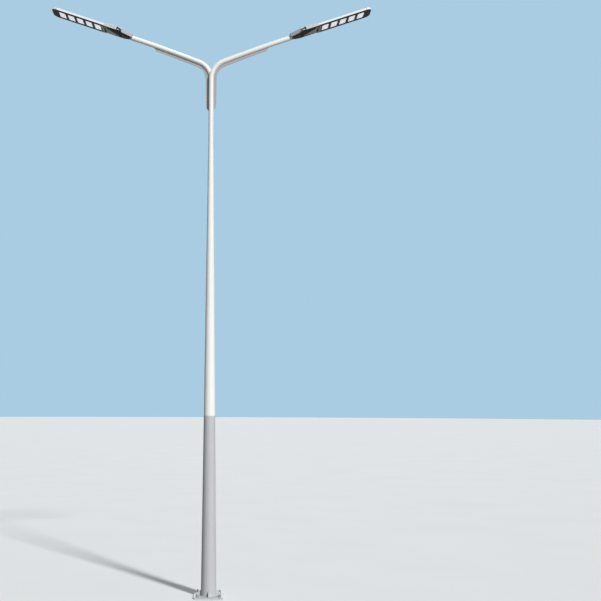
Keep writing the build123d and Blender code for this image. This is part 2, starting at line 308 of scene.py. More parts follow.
def keep(piece, body, slot, *replaced):
    selectOnly(piece)
    bpy.ops.object.shade_smooth_by_angle(angle=math.radians(35))
    applyModifier(piece, "WEIGHTED_NORMAL", keep_sharp=True)  # keeps the broad faces flat
    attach(piece, body)
    if replaced:
        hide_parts(*replaced)


def dressNode(node, name, edge, finish, slot):
    # a CAD node's own shape: its loose triangles are merged and its edges softened
    piece = copyOf(frame["nodes"][node], name)
    piece.parent = None
    edit(piece)
    bpy.ops.mesh.remove_doubles(threshold=0.01 * mm)
    bpy.ops.mesh.dissolve_limited(angle_limit=math.radians(0.4))
    done()
    softEdges(piece, edge)
    paint(piece, finish)
    keep(piece, "root", slot, node)


# Where the lamp heads are: u runs from the neck's mouth to the tip, v across and w up
headSizes = {"hingeU": 404, "hingeW": -7, "half": 152.5, "end": 1190, "railTop": 31}
joints = {joint["name"]: joint for joint in frame["joints"]}


def headMatrix(side):
    outwards = Vector(joints[f"{side}_latch_pivot"]["axis"])
    outwards *= 1 if (outwards.x > 0) == (side == "right") else -1
    across = Vector((0, 1, 0))
    upwards = outwards.cross(across) * (1 if side == "right" else -1)
    hinge = Vector(joints[f"{side}_lid_hinge"]["pos_m"])
    origin = hinge - (outwards * headSizes["hingeU"] + upwards * headSizes["hingeW"]) * mm
    turn = Matrix((outwards, across, upwards)).transposed().to_4x4()
    return Matrix.Translation(origin) @ turn


def onBothHeads(piece, name, body, slot, *replaced):
    for side in sides:
        twin = copyOf(piece, f"{side}_{name}")
        twin.data.transform(headMatrix(side))
        if side == "left":
            twin.data.flip_normals()
        bodyName = body if body == "root" else f"{side}_{body}"
        keep(twin, bodyName, slot, *(f"{side}_{node}" for node in replaced))
    bpy.data.objects.remove(piece)


# Materials

def finishShader(material, shader, tone, colours, gloss=None, relief=None):
    # tone is a pattern that mixes two colours, gloss and relief are a pattern and its two numbers
    mix = addNode(material, "ShaderNodeMix", {
        "Factor": tone, "A": hexColour(colours[0]), "B": hexColour(colours[1]),
    }, data_type="RGBA")
    setInputs(material, shader, {"Base Color": mix.outputs["Result"]})
    if gloss:
        pattern, low, high = gloss
        spread = addNode(material, "ShaderNodeMapRange", {
            "Value": pattern, "To Min": low, "To Max": high,
        })
        setInputs(material, shader, {"Roughness": spread.outputs["Result"]})
    if relief:
        pattern, strength, depth = relief
        bump = addNode(material, "ShaderNodeBump", {
            "Height": pattern, "Strength": strength, "Distance": depth * mm,
        })
        setInputs(material, shader, {"Normal": bump.outputs["Normal"]})
    return material


def powderCoat(name, colour, shade, roughness, streaks, ior=1.5):
    # electrostatic powder coat, cured in an oven: even satin skin with a faint orange peel
    material, shader = newMaterial(name, roughness, ior=ior)
    place = addNode(material, "ShaderNodeTexCoord").outputs["Object"]
    cloud = addNode(material, "ShaderNodeTexNoise", {
        "Vector": place, "Scale": 1 / (180 * mm), "Detail": 4, "Roughness": 0.55,
    }).outputs["Fac"]
    drawn = addNode(material, "ShaderNodeMapping", {"Vector": place, "Scale": (1, 1, 0.03)})
    rain = addNode(material, "ShaderNodeTexNoise", {
        "Vector": drawn.outputs["Vector"], "Scale": 1 / (14 * mm), "Detail": 3,
    })
    rainEdge = addNode(material, "ShaderNodeMapRange", {
        "Value": rain.outputs["Fac"], "From Min": 0.5, "From Max": 0.8,
        "To Min": 0.0, "To Max": streaks * 0.4,
    })
    amount = addNode(material, "ShaderNodeMath", {
        0: cloud, 1: 0.35, 2: rainEdge.outputs["Result"],
    }, operation="MULTIPLY_ADD")
    peel = addNode(material, "ShaderNodeTexNoise", {
        "Vector": place, "Scale": 1 / (2.4 * mm), "Detail": 2, "Roughness": 0.4,
    })
    return finishShader(
        material, shader, amount.outputs["Value"], (colour, shade),
        (cloud, roughness - 0.06, roughness + 0.08), (peel.outputs["Fac"], 0.25, 0.06),
    )


def galvanisedSteel():
    # hot-dip galvanised steel: dull silver with faint crystal spangle
    material, shader = newMaterial("hotDipGalvanisedSteel", 0.42, 1.0)
    place = addNode(material, "ShaderNodeTexCoord").outputs["Object"]
    spangle = addNode(material, "ShaderNodeTexVoronoi", {
        "Vector": place, "Scale": 1 / (7 * mm), "Randomness": 1.0,
    }).outputs["Color"]
    return finishShader(material, shader, spangle, ("#9EA2A5", "#C4C7C9"), (spangle, 0.34, 0.55))


def grainedMetal(name, colour, shade, roughness, grain, stretch, metallic=1.0):
    # plain metal with fine lines along the way it was drawn or turned
    material, shader = newMaterial(name, roughness, metallic)
    place = addNode(material, "ShaderNodeTexCoord").outputs["Object"]
    drawn = addNode(material, "ShaderNodeMapping", {"Vector": place, "Scale": stretch})
    lines = addNode(material, "ShaderNodeTexNoise", {
        "Vector": drawn.outputs["Vector"], "Scale": 1 / (grain * mm), "Detail": 4,
    }).outputs["Fac"]
    return finishShader(
        material, shader, lines, (colour, shade), (lines, roughness - 0.08, roughness + 0.1),
        (lines, 0.3, 0.05),
    )


def mouldedPlastic(name, colour, shade, roughness, grain, depth, coat=0.0, paintedGlow=0.0):
    # moulded plastic or rubber: eroded tool finish, slightly cloudy colour
    material, shader = newMaterial(name, roughness)
    place = addNode(material, "ShaderNodeTexCoord").outputs["Object"]
    cloud = addNode(material, "ShaderNodeTexNoise", {
        "Vector": place, "Scale": 1 / (40 * mm), "Detail": 3,
    })
    erosion = addNode(material, "ShaderNodeTexNoise", {
        "Vector": place, "Scale": 1 / (grain * mm), "Detail": 2,
    })
    setInputs(material, shader, {"Coat Weight": coat, "Coat Roughness": 0.06})
    if paintedGlow:  # painted light: a faint even white glow, which lightens the downward faces that the lamps hardly reach
        setInputs(material, shader, {
            "Emission Color": hexColour("#F4F2FA"), "Emission Strength": paintedGlow,
        })
    return finishShader(
        material, shader, cloud.outputs["Fac"], (colour, shade),
        relief=(erosion.outputs["Fac"], 0.4, depth),
    )


paints = {
    "mastWhite": powderCoat("whitePowderCoat", "#F6F5F1", "#DAD8D2", 0.36, 0.6),
    "mastGrey": powderCoat("lightGreyPowderCoat", "#C3C4C6", "#A3A4A7", 0.42, 0.7),
    "stripGrey": powderCoat("midGreyPowderCoat", "#A7A3A5", "#8E8A8C", 0.55, 0.4),
    "headWhite": powderCoat("castHeadPowderCoat", "#F6F6F6", "#E0E0E1", 0.34, 0.2),
    "boxGrey": powderCoat("castBoxPowderCoat", "#D2D1D3", "#B9B8BB", 0.36, 0.2),
    "neckGrey": powderCoat("castNeckPowderCoat", "#C0BCBF", "#A7A3A6", 0.4, 0.3),
    "black": powderCoat("blackPowderCoat", "#121111", "#1A1918", 0.74, 0.2, 1.33),
    "lidGrey": powderCoat("darkGreyPowderCoat", "#8A8581", "#7A7470", 0.52, 0.2),
    "galvanised": galvanisedSteel(),
    "stainless": grainedMetal("stainlessSteel", "#B9BABC", "#9FA0A3", 0.3, 0.6, (1, 1, 0.2)),
    "extruded": grainedMetal(
        "extrudedAluminium", "#C3C5C8", "#AFB2B6", 0.42, 1.2, (1, 0.02, 1)
    ),
    "anodised": grainedMetal(  # the thick oxide film scatters light, so it is less of a mirror
        "anodisedAluminium", "#D0D1D3", "#BFC1C4", 0.55, 1.2, (1, 0.02, 1), metallic=0.3
    ),
    "nylon": mouldedPlastic("mouldedBlackNylon", "#1A1A1A", "#242424", 0.5, 0.8, 0.05),
    "rubber": mouldedPlastic("epdmRubber", "#121212", "#1B1B1A", 0.75, 1.2, 0.04),
    # the optics and the LED board glow faintly: painted light that lightens their downward faces
    "lens": mouldedPlastic(
        "polycarbonateOptics", "#F7F6F9", "#EFEEF3", 0.12, 2.0, 0.01, coat=0.8, paintedGlow=0.5
    ),
    "ledBoard": mouldedPlastic(
        "whiteSolderMask", "#EBEAEF", "#E2E1E7", 0.4, 1.5, 0.02, coat=0.2, paintedGlow=0.44
    ),
}
print("materials ready")


# Camera at the photograph's place: 15 m in front, a little to the right, at eye level
view = {
    "aside": 0.27, "distance": 15.0, "height": 2.711, "climb": 4.95, "roll": -0.2,
    "lens": 65.35, "sensor": 36.0, "shift": 0.1185, "clipEnd": 500,
}


def addCamera():
    data = bpy.data.cameras.new("photoCamera")
    data.lens = view["lens"]
    data.sensor_width = view["sensor"]
    data.shift_x = view["shift"]
    data.clip_end = view["clipEnd"]
    camera = bpy.data.objects.new("photoCamera", data)
    camera.location = (view["aside"], -view["distance"], view["height"])
    camera.rotation_euler = (math.radians(90 + view["climb"]), math.radians(view["roll"]), 0)
    bpy.context.scene.collection.objects.link(camera)
    bpy.context.scene.camera = camera


# Studio: a key lamp from the front right, a soft lamp behind, a faint fill and a pale sky
studio = {
    "floor": "#EDEEEE", "floorMottle": "#E5E7E7", "floorBounce": "#8A8B8A", "backdrop": "#A9CCE2",
    "ambient": "#F2F5FA", "ambientStrength": 0.09, "floorRadius": 120, "mottlesPerMetre": 0.6,
}
lamps = {
    "keyLamp": {"strength": 3.5, "turn": 30, "height": 34, "spread": 6},
    "backLamp": {"strength": 1.0, "turn": 178, "height": 30, "spread": 50},
}


def seenRays(owner):  # 1 for what is seen, mirrored or looked through, 0 for light that spreads
    path = addNode(owner, "ShaderNodeLightPath")
    mirrored = addNode(owner, "ShaderNodeMath", {
        0: path.outputs["Is Camera Ray"], 1: path.outputs["Is Glossy Ray"],
    }, operation="MAXIMUM")
    return addNode(owner, "ShaderNodeMath", {
        0: mirrored.outputs["Value"], 1: path.outputs["Is Transmission Ray"],
    }, operation="MAXIMUM")


def paleFloor():  # plain matt floor, seen pale but throwing less light back at the pole
    material, shader = newMaterial("paleFloor", 0.9)
    place = addNode(material, "ShaderNodeTexCoord").outputs["Object"]
    mottle = addNode(material, "ShaderNodeTexNoise", {
        "Vector": place, "Scale": studio["mottlesPerMetre"], "Detail": 3,
    })
    tone = addNode(material, "ShaderNodeMix", {
        "Factor": mottle.outputs["Fac"], "A": hexColour(studio["floor"]),
        "B": hexColour(studio["floorMottle"]),
    }, data_type="RGBA")
    seen = addNode(material, "ShaderNodeMix", {
        "Factor": seenRays(material).outputs["Value"], "A": hexColour(studio["floorBounce"]),
        "B": tone.outputs["Result"],
    }, data_type="RGBA")
    setInputs(material, shader, {"Base Color": seen.outputs["Result"]})
    return material


def addStudio():
    scene = bpy.context.scene
    scene.view_settings.view_transform = "Standard"
    world = bpy.data.worlds.new("paleSky")
    scene.world = world
    world.use_nodes = True
    light = world.node_tree.nodes["Background"]
    setInputs(world, light, {
        "Color": hexColour(studio["ambient"]), "Strength": studio["ambientStrength"],
    })
    shown = addNode(world, "ShaderNodeBackground", {"Color": hexColour(studio["backdrop"])})
    mix = addNode(world, "ShaderNodeMixShader", {
        "Fac": seenRays(world).outputs["Value"], 1: light.outputs["Background"],
        2: shown.outputs["Background"],
    })
    setInputs(world, world.node_tree.nodes["World Output"], {"Surface": mix.outputs["Shader"]})

    clearSelection()
    bpy.ops.mesh.primitive_circle_add(
        vertices=96, radius=studio["floorRadius"], fill_type="NGON", location=(0, 0, 0)
    )
    paints["floor"] = paleFloor()
    floor = paint(takeNew("floor"), "floor")

    for name, s in lamps.items():
        light = bpy.data.lights.new(name, "SUN")
        light.energy = s["strength"]
        light.angle = math.radians(s["spread"])
        lamp = bpy.data.objects.new(name, light)
        lamp.rotation_euler = (math.radians(90 - s["height"]), 0, math.radians(s["turn"]))
        scene.collection.objects.link(lamp)


addCamera()
addStudio()

# Mast foot: flange, gussets, weld bead, anchor studs

flangeSizes = {
    "side": 400, "thick": 20, "corner": 25, "anchors": 300, "anchorHole": 28, "cableHole": 120,
    "edge": 2, "gussetEdge": 1.5, "drillLow": -10, "drillHigh": 40,
}


def makeFlange():
    s = flangeSizes
    half, low, high = s["side"] / 2, s["drillLow"], s["drillHigh"]
    plate = addSlab("base_plate", -half, half, half, 0, s["thick"], s["corner"], 8)
    holes = [addRod("hole", (0, 0, low), (0, 0, high), s["cableHole"] / 2, 64)]
    for x, y in anchorPlaces():
        holes.append(addRod("hole", (x, y, low), (x, y, high), s["anchorHole"] / 2))
    cut(plate, *holes)
    softEdges(plate, s["edge"], 3)
    keep(paint(plate, "mastGrey"), "root", "lower_paint", "base_flange")
    for place in ("right", "back", "left", "front"):
        node = f"{place}_gusset"
        dressNode(node, f"{node}_plate", s["gussetEdge"], "mastGrey", "lower_paint")


def anchorPlaces():
    reach = flangeSizes["anchors"] / 2
    return [(x, y) for x in (-reach, reach) for y in (-reach, reach)]


studSizes = {
    "radius": 12, "rootRadius": 10.7, "pitch": 3, "low": 2, "high": 74, "endTaper": 2,
    "nutAcross": 36, "nutHeight": 19, "lockNutShare": 0.6, "nutGap": 0.4, "nutCrown": 2,
    "crownInset": 2.6, "crownOutset": 1.2, "washerRadius": 22, "washerThick": 4,
}


def makeAnchorStud():
    s, top = studSizes, flangeSizes["thick"]
    endRadius, height = s["rootRadius"] - s["endTaper"], s["low"] + 1
    stations = [(endRadius, s["low"]), (s["rootRadius"], height)]
    while height + s["pitch"] < s["high"] - s["endTaper"]:
        stations += [(s["radius"], height + s["pitch"] / 2), (s["rootRadius"], height + s["pitch"])]
        height += s["pitch"]
    stations += [(s["rootRadius"], height + 0.8), (endRadius, s["high"])]
    stud = closeRims(addTurned("stud", stations, 24))
    washer = addRod("washer", (0, 0, top), (0, 0, top + s["washerThick"]), s["washerRadius"])
    pieces = [stud, softEdges(washer, 0.8)]
    low, corner = top + s["washerThick"], s["nutAcross"] / 2 / math.cos(math.radians(30))
    outer, slope = corner + s["crownOutset"], (s["crownInset"] + s["crownOutset"]) / s["nutCrown"]
    end = corner - s["crownInset"] - slope  # the crown's cones end 1 mm past the nut's faces
    for share in (1, s["lockNutShare"]):  # a full nut, and a thin one that locks it
        high = low + s["nutHeight"] * share
        nut = addRod("nut", (0, 0, low), (0, 0, high), corner, 6)
        crown = closeRims(addTurned("crown", [
            (end, low - 1), (outer, low + s["nutCrown"]), (outer, high - s["nutCrown"]),
            (end, high + 1),
        ], 32))
        pieces.append(softEdges(cut(nut, crown, operation="INTERSECT"), 0.5))
        low = high + s["nutGap"]
    fastener = paint(joined("anchorLocal", pieces), "galvanised")
    for number, (x, y) in enumerate(anchorPlaces(), start=1):
        twin = copyOf(fastener, f"anchor_stud_{number}")
        twin.data.transform(Matrix.Translation((x * mm, y * mm, 0)))
        keep(twin, "root", "lower_paint")
    bpy.data.objects.remove(fastener)


weldSizes = {
    "foot_weld": {"offset": 1.5, "size": 5, "ripple": 5, "sink": 0.8},
    "top_weld": {"offset": 0.4, "size": 2.2, "ripple": 4, "sink": 0.352},
}


def makeWeldBead(name, tubeRadius, level, finish, slot):
    # a fillet run round a tube, with a row of sunk vertices between its ripples
    s = weldSizes[name]
    radius = tubeRadius + s["offset"]
    facets = int(2 * math.pi * radius / s["ripple"]) * 3
    clearSelection()
    bpy.ops.mesh.primitive_torus_add(
        major_radius=radius * mm, minor_radius=s["size"] * mm, major_segments=facets,
        minor_segments=8, location=(0, 0, (level + s["offset"]) * mm),
    )
    bead = takeNew(name)
    edit(bead)
    mesh, grid = startPick("VERT")
    for vertex in grid.verts:
        turn = math.atan2(vertex.co.y, vertex.co.x) / (2 * math.pi) % 1
        vertex.select_set(round(turn * facets) % 3 == 0)
    bmesh.update_edit_mesh(mesh)
    bpy.ops.transform.shrink_fatten(value=-s["sink"] * mm)
    done()
    keep(paint(bead, finish), "root", slot)


# Mast: two conical lengths with a groove where they meet

mastSizes = {
    "footRadius": 105, "topRadius": 36, "foot": flangeSizes["thick"], "top": 6190, "seam": 2425,
    "wall": 4, "facets": 128, "lowerRings": (540, 900, 1600), "upperRings": (3700, 5000),
    "groove": 8, "grooveDepth": 2, "lip": 1, "doorWidth": 96, "doorHeight": 360,
    "doorMiddle": 720, "doorCorner": 30,
}


def mastRadius(height):
    s = mastSizes
    share = (height - s["foot"]) / (s["top"] - s["foot"])
    return s["footRadius"] + (s["topRadius"] - s["footRadius"]) * share


def makeMast():
    s = mastSizes
    seam, top, lip, seamRadius = s["seam"], s["top"], s["lip"], mastRadius(s["seam"])
    lower = shell(addTurned("mast_lower", [
        (s["footRadius"], s["foot"]), *((mastRadius(z), z) for z in s["lowerRings"]),
        (seamRadius - 0.01, seam - lip), (seamRadius - lip, seam),
    ], s["facets"]), s["wall"])
    half, reach = s["doorWidth"] / 2, s["doorHeight"] / 2
    doorway = addBlock("doorway", (-half, 0, s["doorMiddle"] - reach),
                       (half, s["footRadius"] + beyond, s["doorMiddle"] + reach))
    cut(lower, roundEdges(doorway, crosswise, s["doorCorner"], 8))
    keep(paint(lower, "mastGrey"), "root", "lower_paint", "mast_lower_length")

    grooveTop, inner = seam + s["groove"], seamRadius - s["grooveDepth"]
    upper = shell(addTurned("mast_upper", [
        (inner, seam), (inner, grooveTop - lip), (seamRadius - lip, grooveTop),
        *((mastRadius(z), z) for z in (grooveTop + lip, *s["upperRings"])),
        (s["topRadius"] + 0.1, top - 2), (s["topRadius"] - lip, top),
    ], s["facets"]), s["wall"] / 2)
    keep(paint(upper, "mastWhite"), "root", "upper_paint", "mast_upper_length")
    makeWeldBead("foot_weld", s["footRadius"], s["foot"], "mastGrey", "lower_paint")
    makeWeldBead("top_weld", armSizes["radius"], top, "mastWhite", "upper_paint")


# Access door on the far side: flush curved plate, collar behind it and two security screws

doorSizes = {
    "edge": 1.2, "collarEdge": 0.6, "screwRadius": 7, "screwInset": 26, "screwHeight": 2.4,
    "screwRound": 2, "screwSeat": 3, "socketRadius": 3.2,
}


def makeDoor():
    s, d = mastSizes, doorSizes
    dressNode("access_door", "door_plate", d["edge"], "mastGrey", "lower_paint")
    dressNode("access_door_frame", "door_collar", d["collarEdge"], "mastGrey", "lower_paint")
    for name, side in (("upper", 1), ("lower", -1)):
        height = s["doorMiddle"] + side * (s["doorHeight"] / 2 - d["screwInset"])
        face = mastRadius(height)
        end = face + d["screwHeight"]
        screw = addRod(f"{name}_door_screw", (0, face - d["screwSeat"], height), (0, end, height),
                       d["screwRadius"], 24)
        roundEdges(screw, lambda a, b: both(a, b, 1, end), d["screwRound"], 3)
        cut(screw, addRod("socket", (0, face, height), (0, end + beyond, height),
                          d["socketRadius"], 3))
        keep(paint(screw, "stainless"), "root", "lower_paint")


# Arms: a straight leg, a tight bend and a long bow that flattens towards the lamp head

armSizes = {
    "radius": 34, "foot": mastSizes["top"], "leftFoot": 6676, "bendFoot": 7133,
    "bendRadius": 270, "bendSteps": 32, "bowSteps": 10, "rootSlope": 21.5, "tipSlope": 18.5,
    "reach": 1115, "seat": 18, "setback": 34, "saddleFoot": 6140, "saddleGap": 0.2,
    "saddleEdge": 0.8, "stripEdge": 1.2,
}


def bendArm(name, foot, grow=0.0):  # closed rod along the right-hand arm's line
    s = armSizes
    clearSelection()
    bpy.ops.mesh.primitive_circle_add(
        vertices=64, radius=(s["radius"] + grow) * mm, location=(0, 0, foot * mm)
    )
    rod = takeNew(name)
    edit(rod)
    for half in range(2):
        extrudePicked(z=(s["bendFoot"] - foot) / 2)
    root, tip = math.radians(s["rootSlope"]), math.radians(s["tipSlope"])
    bpy.ops.mesh.spin(
        steps=s["bendSteps"], angle=math.radians(90) - root, axis=(0, -1, 0),
        center=(s["bendRadius"] * mm, 0, s["bendFoot"] * mm),
    )
    endX = s["bendRadius"] * (1 - math.sin(root))
    endZ = s["bendFoot"] + s["bendRadius"] * math.cos(root)
    bow = (s["reach"] - endX) / (math.sin(root) - math.sin(tip))
    centre = ((endX + bow * math.sin(root)) * mm, 0, (endZ - bow * math.cos(root)) * mm)
    bpy.ops.mesh.spin(steps=s["bowSteps"], angle=root - tip, center=centre, axis=(0, -1, 0))
    extrudePicked(s["seat"] * math.cos(tip), s["seat"] * math.sin(tip))
    done()
    return closeRims(rod)


def makeArms():
    s = armSizes
    right, left = bendArm("right_arm", s["foot"]), bendArm("left_arm", s["leftFoot"])
    across = Matrix.Diagonal((-1, 1, 1, 1))
    left.data.transform(Matrix.Translation((0, s["setback"] * mm, 0)) @ across)
    left.data.flip_normals()
    cut(left, bendArm("saddle", s["saddleFoot"], s["saddleGap"]))
    softEdges(left, s["saddleEdge"], 2, 40)
    for piece, node in ((right, "right_arm_tube"), (left, "left_arm_tube")):
        keep(paint(piece, "mastWhite"), "root", "upper_paint", node)
    for side in sides:
        dressNode(
            f"{side}_stiffener", f"{side}_strip", s["stripEdge"], "stripGrey", "strip_paint"
        )


# Lamp head pieces, made once in the head's own place (u, v, w) and copied to both heads

neckSizes = {
    "length": 150, "mouthHalf": 62, "shoulderHalf": 138, "top": 46, "skirt": 8, "mouthRound": 16,
    "topRound": 6, "skirtRound": 2, "seatGap": 0.4, "screwU": 52, "screwV": 22,
    "coverInset": 1.5, "coverDepth": 12, "coverShare": 0.45, "coverRound": 3,
    "coverScrews": ((38, -16), (38, 16), (132, -40), (132, 40)),
}
screwSizes = {  # radius and height of the heads
    "clamp": (6.5, 2.6), "cover": (4.5, 2.0), "bezel": (5.5, 2.2),
}


def neckHalf(u):
    s = neckSizes
    return s["mouthHalf"] + (s["shoulderHalf"] - s["mouthHalf"]) * u / s["length"]


def addScrewHeads(kind, places, w, way=1):
    # round heads with a hexagon socket, standing on level w, or hanging from it where way is -1
    radius, height = screwSizes[kind]
    end = w + way * height
    heads = []
    for u, v in places:
        head = addRod("head", (u, v, w - way), (u, v, end), radius, 24)
        roundEdges(head, lambda a, b: both(a, b, 2, end), height * 0.6, 3)
        socket = addRod("socket", (u, v, w + way * height * 0.4), (u, v, end + way * beyond),
                        radius / 2, 6)
        heads.append(cut(head, socket))
    return paint(joined("screwsLocal", heads), "stainless")


def makeNeck():
    s = neckSizes
    neck = addSlab("neckLocal", 0, s["length"], s["shoulderHalf"], -s["skirt"], s["top"])
    edit(neck)
    pickFaces(lambda c, n: near(c.x, 0))
    sizePicked(y=s["mouthHalf"] / s["shoulderHalf"])
    pickEdges(lambda a, b: upright(a, b) and near(a.x, 0))
    bevelPicked(s["mouthRound"], 8)
    rounds = ((s["top"], s["topRound"], 5), (-s["skirt"], s["skirtRound"], 3))
    for level, radius, segments in rounds:
        pickEdges(lambda a, b: both(a, b, 2, level) and not both(a, b, 0, s["length"]))
        bevelPicked(radius, segments)
    done()
    start = armSizes["seat"]
    cut(neck, addRod("seat", (-beyond, 0, 0), (start, 0, 0), armSizes["radius"] + s["seatGap"], 64))
    softEdges(neck, 1.2, 2, 50)
    paint(neck, "neckGrey")
    places = [(s["screwU"], v) for v in (-s["screwV"], s["screwV"])]
    screws = addScrewHeads("clamp", places, s["top"])
    onBothHeads(screws, "neck_screws", "root", "neck_paint")
    onBothHeads(neck, "neck_casting", "root", "neck_paint", "neck")

    low, wide = -s["skirt"] - s["coverDepth"], neckHalf(s["length"]) - s["coverInset"]
    cover = addSlab("coverLocal", start, s["length"], wide, low, -s["skirt"])
    edit(cover)
    pickFaces(lambda c, n: near(c.x, start))
    sizePicked(y=(neckHalf(start) - s["coverInset"]) / wide)
    pickFaces(lambda c, n: near(c.z, low))
    sizePicked(y=s["coverShare"])
    pickEdges(lambda a, b: both(a, b, 2, low) or not near(a.z, b.z))
    bevelPicked(s["coverRound"])
    done()
    softEdges(cover, 0.8)
    onBothHeads(paint(cover, "black"), "neck_plate", "root", "black_paint", "neck_cover")
    screws = addScrewHeads("cover", s["coverScrews"], low, -1)
    onBothHeads(screws, "neck_plate_screws", "root", "black_paint")


boxSizes = {
    "start": neckSizes["length"], "end": 415, "half": headSizes["half"], "top": neckSizes["top"],
    "rampStart": 375, "rampEnd": headSizes["railTop"], "wall": 5, "rearRound": 22, "topRound": 5,
    "grooveLow": 17, "grooveHigh": 29, "grooveStart": 178, "grooveEnd": 347, "grooveDepth": 2,
    "grooveRound": 5,
}


def makeHousing():
    s = boxSizes
    box = addSlab("housingLocal", s["start"], s["end"], s["half"], 0, s["top"])
    edit(box)
    fall = s["top"] - s["rampEnd"]
    sliceOff((s["rampStart"], 0, s["top"]), (fall, 0, s["end"] - s["rampStart"]))
    pickEdges(lambda a, b: upright(a, b) and near(a.x, s["start"]))
    bevelPicked(s["rearRound"], 10)
    pickEdges(lambda a, b: min(a.z, b.z) > s["top"] / 2 and not both(a, b, 0, s["end"])
              and not both(a, b, 0, s["rampStart"]))
    bevelPicked(s["topRound"], 5)
    pickBottom(0)
    bpy.ops.mesh.delete(type="ONLY_FACE")
    done()
    shell(box, s["wall"])
    for side in (-1, 1):
        span = sorted((side * (s["half"] - s["grooveDepth"]), side * (s["half"] + beyond)))
        tool = addBlock("groove", (s["grooveStart"], span[0], s["grooveLow"]),
                        (s["grooveEnd"], span[1], s["grooveHigh"]))
        cut(box, roundEdges(tool, crosswise, s["grooveRound"], 5))
    softEdges(box, 0.8, 2, 50)
    onBothHeads(paint(box, "boxGrey"), "housing", "root", "head_paint", "driver_box")


hingeSizes = {
    "offset": 95, "barrelRadius": 6, "barrelHalf": 20, "gap": 1, "ear": 5, "earTop": 4,
    "earRound": 5.5, "pinRadius": 3, "pinProud": 0.8, "headRadius": 4.6, "headThick": 2,
}


def makeHinges():
    s, u, w = hingeSizes, headSizes["hingeU"], headSizes["hingeW"]
    low, reach = w - s["barrelRadius"], s["barrelHalf"] + s["gap"] + s["ear"]
    tip = reach + s["pinProud"]
    ears, pins = [], []
    for middle in (-s["offset"], s["offset"]):
        pin = addRod("pin", (u, middle - tip, w), (u, middle + tip, w), s["pinRadius"], 24)
        pins.append(softEdges(pin, 0.5))
        for side in (-1, 1):
            end = middle + side * reach
            span = sorted((end - side * s["ear"], end))
            ear = addBlock("ear", (u - s["barrelRadius"], span[0], low),
                           (boxSizes["end"], span[1], s["earTop"]))
            roundEdges(ear, lambda a, b: both(a, b, 2, low) and near(a.x, b.x), s["earRound"], 6)
            ears.append(softEdges(ear, 0.6))
            button = addRod("button", (u, end, w), (u, end + side * s["headThick"], w),
                            s["headRadius"], 24)
            pins.append(softEdges(button, 0.7))
    onBothHeads(paint(joined("earsLocal", ears), "black"), "hinge_ears", "root", "black_paint")
    onBothHeads(paint(joined("pinsLocal", pins), "stainless"), "hinge_pins", "root", "black_paint")


gasketSizes = {
    "outer": 147.4, "width": 9, "low": 1, "high": 5, "start": 155.1, "end": 394, "corner": 17,
    "innerCorner": 10, "edge": 1.2,
}
bulkheadSizes = {"start": 388, "end": 392, "half": 148, "low": 5, "top": 35, "corner": 1.5}


def makeGasket():
    s, b = gasketSizes, bulkheadSizes
    start, end, width = s["start"], s["end"], s["width"]
    outer = addSlab("gasketLocal", start, end, s["outer"], s["low"], s["high"])
    inner = addSlab("hole", start + width, end - width, s["outer"] - width, s["low"] - beyond,
                    s["high"] + beyond)
    for piece, radius in ((outer, s["corner"]), (inner, s["innerCorner"])):
        roundEdges(piece, lambda a, b: upright(a, b) and a.x < (start + end) / 2, radius, 8)
    cut(outer, inner)
    softEdges(outer, s["edge"], 3)
    onBothHeads(paint(outer, "rubber"), "lid_gasket", "root", "black_paint")
    rib = addSlab("ribLocal", b["start"], b["end"], b["half"], b["low"], b["top"], b["corner"], 3)
    onBothHeads(paint(rib, "boxGrey"), "bulkhead", "root", "head_paint")


frameSizes = {
    "start": boxSizes["end"], "end": 1121, "half": headSizes["half"], "foot": 3.5, "low": 10,
    "top": headSizes["railTop"], "rail": 6, "sideBar": 11, "rung": 12.5, "pitch": 131,
    "first": 516, "count": 5, "windowRound": 8, "topRound": 4,
}


def moduleCentres():
    s = frameSizes
    return [s["first"] + number * s["pitch"] for number in range(s["count"])]


def windowHalves():  # along u and across it
    s = frameSizes
    return (s["pitch"] - s["rung"]) / 2, s["half"] - s["sideBar"]


def makeFrame():
    s = frameSizes
    bars = addSlab("frameLocal", s["start"], s["end"], s["half"], s["foot"], s["top"])
    roundEdges(
        bars, lambda a, b: both(a, b, 2, s["top"]) and near(a.y, b.y), s["topRound"], 5
    )
    long, wide = windowHalves()
    tools = [addSlab("pocket", s["start"] - beyond, s["end"] + beyond, s["half"] - s["rail"],
                     -beyond, s["low"])]
    for centre in moduleCentres():
        tools.append(addSlab("window", centre - long, centre + long, wide, -beyond,
                             s["top"] + beyond, s["windowRound"]))
    cut(bars, *tools)
    softEdges(bars, 1, 2, 50)
    onBothHeads(paint(bars, "headWhite"), "module_frame", "root", "head_paint", "light_frame")


sinkSizes = {
    "lap": 3, "low": 2, "plateTop": 10, "plateCorner": 4, "finTop": 29, "finCount": 12,
    "finThick": 3, "finMargin": 5, "finEnd": 4, "finTaper": 0.6, "finEndTaper": 0.985,
    "finRound": 0.6,
}


